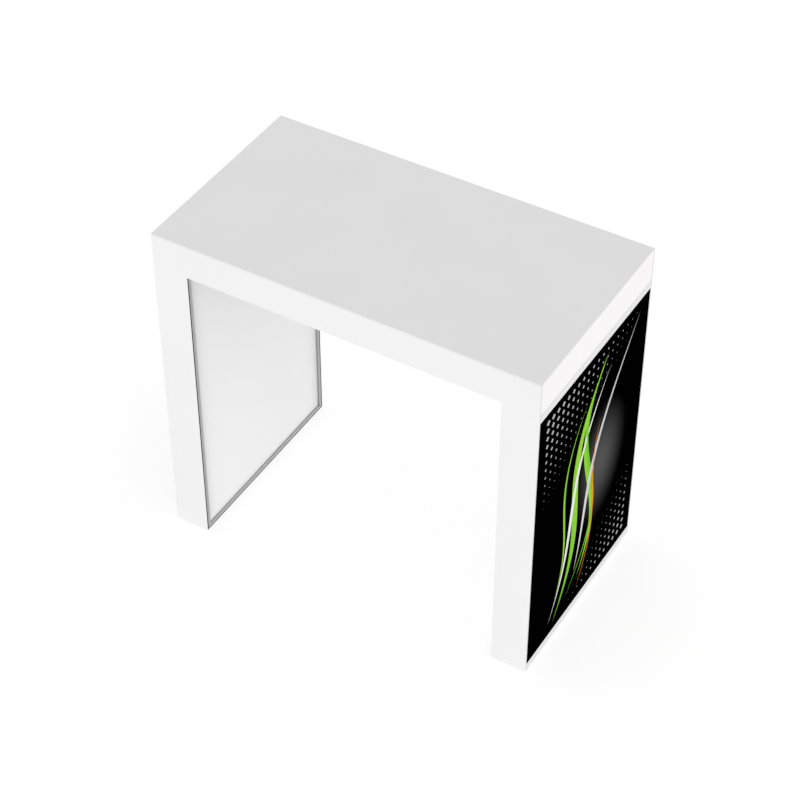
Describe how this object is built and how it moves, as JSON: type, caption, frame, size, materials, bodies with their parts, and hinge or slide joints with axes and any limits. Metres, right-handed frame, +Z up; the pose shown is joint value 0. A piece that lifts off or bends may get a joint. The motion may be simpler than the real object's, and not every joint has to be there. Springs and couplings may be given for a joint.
{
  "type": "exhibition counter",
  "caption": "Free-standing arch-shaped exhibition counter: flat worktop on slab legs, with printed outer panels, sunk inner panels in silver frames, and levelling feet that screw out.",
  "frame": {"origin": "on the floor, under the middle of the counter", "axes": "+X to the right-hand end, -Y to the front, +Z up"},
  "size_m": [1.1, 0.59, 1],
  "materials": {
    "white_sheet": "satin white coated composite sheet",
    "pale_strip": "satin pale grey-white coated composite sheet",
    "grey_backing": "grey-coated back of a composite sheet",
    "white_panel": "matt white rigid plastic panel",
    "print": null,
    "silver": "silver anodised extrusion",
    "mill_aluminium": "mill-finish extrusion",
    "zinc_steel": "zinc-plated steel",
    "plywood": "bare birch plywood",
    "black_plastic": "moulded black plastic"
  },
  "bodies": {
    "counter": {"worktop_skin": "white_sheet", "worktop_board": "plywood", "front_fascia": "white_sheet", "back_fascia": "white_sheet", "right_end_band": "white_sheet", "left_end_band": "white_sheet", "underside_panel": "grey_backing", "front_beam": "mill_aluminium", "back_beam": "mill_aluminium", "right_end_beam": "mill_aluminium", "left_end_beam": "mill_aluminium", "cross_rib_1": "mill_aluminium", "cross_rib_2": "mill_aluminium", "right_front_box_bracket": "zinc_steel", "right_back_box_bracket": "zinc_steel", "left_front_box_bracket": "zinc_steel", "left_back_box_bracket": "zinc_steel", "right_leg_front_post": "silver", "right_leg_back_post": "silver", "right_leg_top_rail": "silver", "right_leg_bottom_rail": "silver", "right_leg_front_top_bracket": "zinc_steel", "right_leg_front_bottom_bracket": "zinc_steel", "right_leg_back_top_bracket": "zinc_steel", "right_leg_back_bottom_bracket": "zinc_steel", "right_inner_panel": "white_panel", "right_upper_strip": "pale_strip", "right_graphic_panel": "print", "right_lower_strip": "pale_strip", "right_base_panel": "white_sheet", "right_front_foot_plate": "zinc_steel", "right_back_foot_plate": "zinc_steel", "right_front_joint_bolt": "zinc_steel", "right_back_joint_bolt": "zinc_steel", "left_leg_front_post": "silver", "left_leg_back_post": "silver", "left_leg_top_rail": "silver", "left_leg_bottom_rail": "silver", "left_leg_front_top_bracket": "zinc_steel", "left_leg_front_bottom_bracket": "zinc_steel", "left_leg_back_top_bracket": "zinc_steel", "left_leg_back_bottom_bracket": "zinc_steel", "left_inner_panel": "white_panel", "left_upper_strip": "pale_strip", "left_graphic_panel": "print", "left_lower_strip": "pale_strip", "left_base_panel": "white_sheet", "left_front_foot_plate": "zinc_steel", "left_back_foot_plate": "zinc_steel", "left_front_joint_bolt": "zinc_steel", "left_back_joint_bolt": "zinc_steel"},
    "right_front_foot": {"right_front_foot_pad": "black_plastic", "right_front_foot_stud": "zinc_steel"},
    "right_back_foot": {"right_back_foot_pad": "black_plastic", "right_back_foot_stud": "zinc_steel"},
    "left_front_foot": {"left_front_foot_pad": "black_plastic", "left_front_foot_stud": "zinc_steel"},
    "left_back_foot": {"left_back_foot_pad": "black_plastic", "left_back_foot_stud": "zinc_steel"}
  },
  "joints": [
    {"name": "right_front_foot_out", "type": "slide", "parent": "counter", "child": "right_front_foot", "axis": [0, 0, -1], "range_m": [0, 0.012]},
    {"name": "right_back_foot_out", "type": "slide", "parent": "counter", "child": "right_back_foot", "axis": [0, 0, -1], "range_m": [0, 0.012]},
    {"name": "left_front_foot_out", "type": "slide", "parent": "counter", "child": "left_front_foot", "axis": [0, 0, -1], "range_m": [0, 0.012]},
    {"name": "left_back_foot_out", "type": "slide", "parent": "counter", "child": "left_back_foot", "axis": [0, 0, -1], "range_m": [0, 0.012]}
  ]
}
